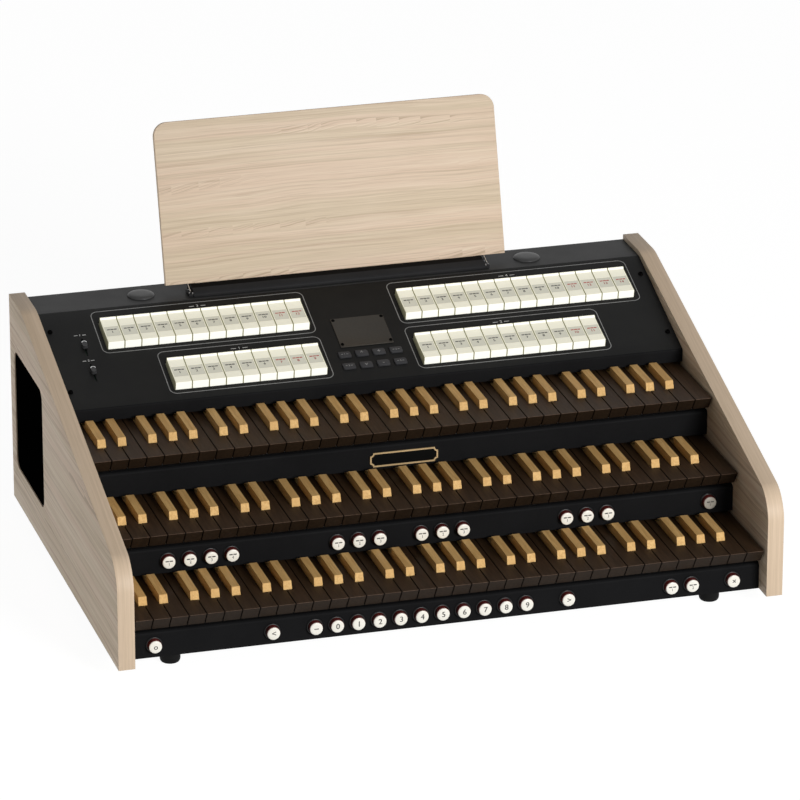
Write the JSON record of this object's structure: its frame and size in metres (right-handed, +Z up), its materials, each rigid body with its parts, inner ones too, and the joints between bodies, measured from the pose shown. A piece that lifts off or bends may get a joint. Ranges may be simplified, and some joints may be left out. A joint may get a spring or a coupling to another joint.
{
  "type": "church organ",
  "caption": "Table-top church organ console with three stepped manuals, rocker stop tabs on a sloping panel, thumb pistons, wooden side cheeks and a leaning music desk",
  "frame": {"origin": "on the supporting surface, below the middle of the whole organ's bounding box", "axes": "+X to the player's right, +Y away from the player, +Z up"},
  "size_m": [0.895, 0.6424, 0.5321],
  "materials": {
    "badge_brass": "satin",
    "black_cloth": "matt",
    "black_paint": "satin black paint",
    "black_plastic": "satin",
    "black_rubber": "matt",
    "black_sheet": "satin black",
    "dark_wood_key": "satin",
    "display_glass": "gloss",
    "green_board": "matt",
    "grey_paint": "satin",
    "grey_rubber": "matt",
    "ivory_plastic": "satin",
    "light_oak": "satin laminate",
    "tan_wood_key": "satin",
    "white_plastic": "satin",
    "zinc_steel": "zinc plated"
  },
  "bodies": {
    "console": {"back_panel": "black_paint", "badge_plate": "badge_brass", "base_panel": "black_paint", "carrier_lower_left": "zinc_steel", "carrier_lower_right": "zinc_steel", "carrier_upper_left": "zinc_steel", "carrier_upper_right": "zinc_steel", "centre_rib": "light_oak", "desk_ledge": "black_plastic", "display": "display_glass", "foot_back_left": "black_rubber", "foot_back_right": "black_rubber", "foot_front_left": "black_rubber", "foot_front_right": "black_rubber", "front_rail": "black_paint", "key_frame_one": "zinc_steel", "key_frame_three": "zinc_steel", "key_frame_two": "zinc_steel", "left_cap": "grey_paint", "left_cheek": "light_oak", "left_grille": "black_cloth", "menu_board": "green_board", "middle_rail": "black_paint", "power_inlet": "black_plastic", "right_cap": "grey_paint", "right_cheek": "light_oak", "right_grille": "black_cloth", "slider_board": "green_board", "stop_panel": "black_sheet", "top_cover": "grey_paint", "upper_rail": "black_paint"},
    "naturals_one": {"naturals_one": "dark_wood_key"},
    "sharps_one": {"sharps_one": "tan_wood_key"},
    "naturals_two": {"naturals_two": "dark_wood_key"},
    "sharps_two": {"sharps_two": "tan_wood_key"},
    "naturals_three": {"naturals_three": "dark_wood_key"},
    "sharps_three": {"sharps_three": "tan_wood_key"},
    "tabs_upper_left": {"tabs_upper_left": "ivory_plastic"},
    "tabs_lower_left": {"tabs_lower_left": "ivory_plastic"},
    "tabs_upper_right": {"tabs_upper_right": "ivory_plastic"},
    "tabs_lower_right": {"tabs_lower_right": "ivory_plastic"},
    "piston_set": {"piston_set": "white_plastic"},
    "piston_previous": {"piston_previous": "white_plastic"},
    "piston_minus": {"piston_minus": "white_plastic"},
    "pistons_numbered": {"pistons_numbered": "white_plastic"},
    "piston_next": {"piston_next": "white_plastic"},
    "piston_right_a": {"piston_right_a": "white_plastic"},
    "piston_right_b": {"piston_right_b": "white_plastic"},
    "piston_cancel": {"piston_cancel": "white_plastic"},
    "pistons_coupler_a": {"pistons_coupler_a": "white_plastic"},
    "pistons_coupler_b": {"pistons_coupler_b": "white_plastic"},
    "pistons_coupler_c": {"pistons_coupler_c": "white_plastic"},
    "pistons_coupler_d": {"pistons_coupler_d": "white_plastic"},
    "piston_voice": {"piston_voice": "white_plastic"},
    "menu_buttons": {"menu_buttons": "grey_rubber"},
    "reverb_knob": {"reverb_knob": "black_plastic"},
    "volume_knob": {"volume_knob": "black_plastic"},
    "power_switch": {"power_switch": "black_plastic"},
    "music_desk": {"music_desk": "light_oak"}
  },
  "joints": [
    {"name": "naturals_one_hinge", "type": "hinge", "parent": "console", "child": "naturals_one", "pos_m": [0, -0.11575, 0.0796], "axis": [1, 0, 0], "range_deg": [0, 2.3], "stiffness_Nm_per_rad": 40, "springref_deg": -2.86},
    {"name": "sharps_one_hinge", "type": "hinge", "parent": "console", "child": "sharps_one", "pos_m": [0, -0.11575, 0.0796], "axis": [1, 0, 0], "range_deg": [0, 2.3], "stiffness_Nm_per_rad": 25, "springref_deg": -2.86},
    {"name": "naturals_two_hinge", "type": "hinge", "parent": "console", "child": "naturals_two", "pos_m": [0, -0.00655, 0.1474], "axis": [1, 0, 0], "range_deg": [0, 2.3], "stiffness_Nm_per_rad": 40, "springref_deg": -2.86},
    {"name": "sharps_two_hinge", "type": "hinge", "parent": "console", "child": "sharps_two", "pos_m": [0, -0.00655, 0.1474], "axis": [1, 0, 0], "range_deg": [0, 2.3], "stiffness_Nm_per_rad": 25, "springref_deg": -2.86},
    {"name": "naturals_three_hinge", "type": "hinge", "parent": "console", "child": "naturals_three", "pos_m": [0, 0.10265, 0.2131], "axis": [1, 0, 0], "range_deg": [0, 2.3], "stiffness_Nm_per_rad": 40, "springref_deg": -2.86},
    {"name": "sharps_three_hinge", "type": "hinge", "parent": "console", "child": "sharps_three", "pos_m": [0, 0.10265, 0.2131], "axis": [1, 0, 0], "range_deg": [0, 2.3], "stiffness_Nm_per_rad": 25, "springref_deg": -2.86},
    {"name": "tabs_upper_left_rocker", "type": "hinge", "parent": "console", "child": "tabs_upper_left", "pos_m": [-0.20658, 0.17404, 0.2831], "axis": [1, 0, 0], "range_deg": [0, 4]},
    {"name": "tabs_lower_left_rocker", "type": "hinge", "parent": "console", "child": "tabs_lower_left", "pos_m": [-0.17166, 0.08389, 0.25129], "axis": [1, 0, 0], "range_deg": [0, 4]},
    {"name": "tabs_upper_right_rocker", "type": "hinge", "parent": "console", "child": "tabs_upper_right", "pos_m": [0.22986, 0.17404, 0.2831], "axis": [1, 0, 0], "range_deg": [0, 4]},
    {"name": "tabs_lower_right_rocker", "type": "hinge", "parent": "console", "child": "tabs_lower_right", "pos_m": [0.19494, 0.08389, 0.25129], "axis": [1, 0, 0], "range_deg": [0, 4]},
    {"name": "piston_set_press", "type": "slide", "parent": "console", "child": "piston_set", "axis": [0, 1, 0], "range_m": [0, 0.003], "stiffness_N_per_m": 300, "springref_m": -0.001},
    {"name": "piston_previous_press", "type": "slide", "parent": "console", "child": "piston_previous", "axis": [0, 1, 0], "range_m": [0, 0.003], "stiffness_N_per_m": 300, "springref_m": -0.001},
    {"name": "piston_minus_press", "type": "slide", "parent": "console", "child": "piston_minus", "axis": [0, 1, 0], "range_m": [0, 0.003], "stiffness_N_per_m": 300, "springref_m": -0.001},
    {"name": "pistons_numbered_press", "type": "slide", "parent": "console", "child": "pistons_numbered", "axis": [0, 1, 0], "range_m": [0, 0.003], "stiffness_N_per_m": 3000, "springref_m": -0.001},
    {"name": "piston_next_press", "type": "slide", "parent": "console", "child": "piston_next", "axis": [0, 1, 0], "range_m": [0, 0.003], "stiffness_N_per_m": 300, "springref_m": -0.001},
    {"name": "piston_right_a_press", "type": "slide", "parent": "console", "child": "piston_right_a", "axis": [0, 1, 0], "range_m": [0, 0.003], "stiffness_N_per_m": 300, "springref_m": -0.001},
    {"name": "piston_right_b_press", "type": "slide", "parent": "console", "child": "piston_right_b", "axis": [0, 1, 0], "range_m": [0, 0.003], "stiffness_N_per_m": 300, "springref_m": -0.001},
    {"name": "piston_cancel_press", "type": "slide", "parent": "console", "child": "piston_cancel", "axis": [0, 1, 0], "range_m": [0, 0.003], "stiffness_N_per_m": 300, "springref_m": -0.001},
    {"name": "pistons_coupler_a_press", "type": "slide", "parent": "console", "child": "pistons_coupler_a", "axis": [0, 1, 0], "range_m": [0, 0.003], "stiffness_N_per_m": 1200, "springref_m": -0.001},
    {"name": "pistons_coupler_b_press", "type": "slide", "parent": "console", "child": "pistons_coupler_b", "axis": [0, 1, 0], "range_m": [0, 0.003], "stiffness_N_per_m": 900, "springref_m": -0.001},
    {"name": "pistons_coupler_c_press", "type": "slide", "parent": "console", "child": "pistons_coupler_c", "axis": [0, 1, 0], "range_m": [0, 0.003], "stiffness_N_per_m": 900, "springref_m": -0.001},
    {"name": "pistons_coupler_d_press", "type": "slide", "parent": "console", "child": "pistons_coupler_d", "axis": [0, 1, 0], "range_m": [0, 0.003], "stiffness_N_per_m": 900, "springref_m": -0.001},
    {"name": "piston_voice_press", "type": "slide", "parent": "console", "child": "piston_voice", "axis": [0, 1, 0], "range_m": [0, 0.003], "stiffness_N_per_m": 300, "springref_m": -0.001},
    {"name": "menu_buttons_press", "type": "slide", "parent": "console", "child": "menu_buttons", "axis": [0, 0.3327, -0.943], "range_m": [0, 0.001], "stiffness_N_per_m": 600, "springref_m": -0.001},
    {"name": "reverb_knob_slide", "type": "slide", "parent": "console", "child": "reverb_knob", "axis": [0, 0.943, 0.3327], "range_m": [-0.0122, 0.0104]},
    {"name": "volume_knob_slide", "type": "slide", "parent": "console", "child": "volume_knob", "axis": [0, 0.943, 0.3327], "range_m": [-0.0122, 0.0104]},
    {"name": "power_switch_rocker", "type": "hinge", "parent": "console", "child": "power_switch", "pos_m": [0.021, 0.29085, 0.07], "axis": [1, 0, 0], "range_deg": [0, 12]},
    {"name": "music_desk_lift", "type": "slide", "parent": "console", "child": "music_desk", "axis": [0, 0.2756, 0.9613], "range_m": [0, 0.03]}
  ]
}
